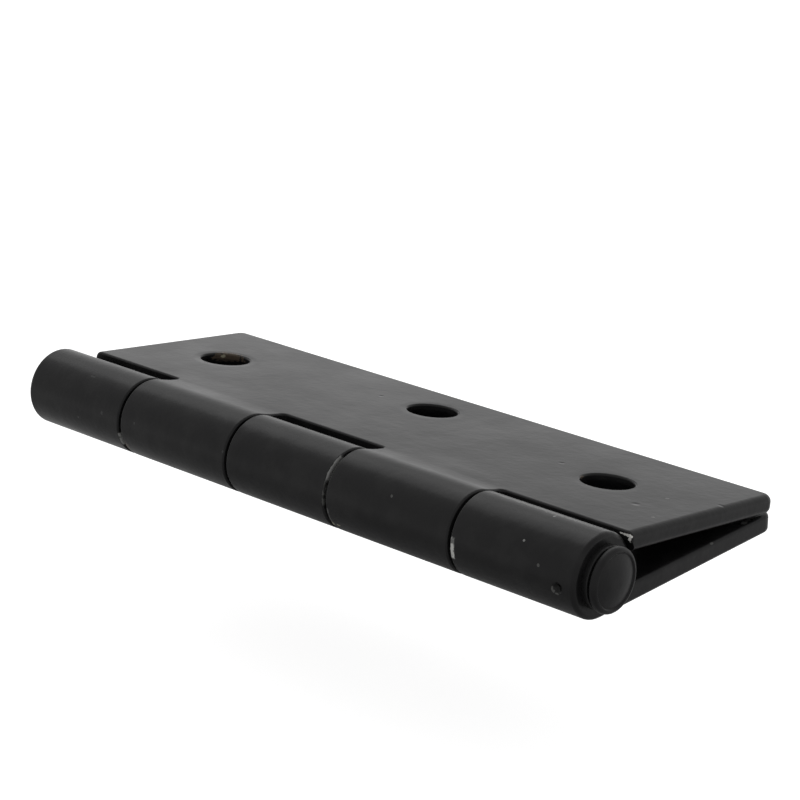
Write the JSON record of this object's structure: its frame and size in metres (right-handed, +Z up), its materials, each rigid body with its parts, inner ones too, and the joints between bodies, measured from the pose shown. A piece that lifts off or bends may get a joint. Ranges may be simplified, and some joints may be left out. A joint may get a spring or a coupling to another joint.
{
  "type": "butt hinge",
  "caption": "Black painted steel butt hinge, folded shut: rolled interlocking knuckles on a button-headed pin, countersunk screw holes staggered along each leaf.",
  "frame": {"origin": "on the fixed leaf's outer face, on the line of its two outer screw holes, at the middle of the barrel", "axes": "+X along the pin towards its head, +Y from the barrel to the free edges of the leaves, +Z up from the fixed leaf's outer face"},
  "size_m": [0.082, 0.0335, 0.0088],
  "materials": {
    "leaf_paint": "satin powder coat",
    "pin_paint": "satin powder coat"
  },
  "bodies": {
    "fixed": {"fixed_leaf": "leaf_paint", "hinge_pin": "pin_paint"},
    "swing": {"swing_leaf": "leaf_paint"}
  },
  "joints": [
    {"name": "leaf_swing", "type": "hinge", "parent": "fixed", "child": "swing", "pos_m": [0, -0.0157, 0.0044], "axis": [1, 0, 0], "range_deg": [0, 240]}
  ]
}
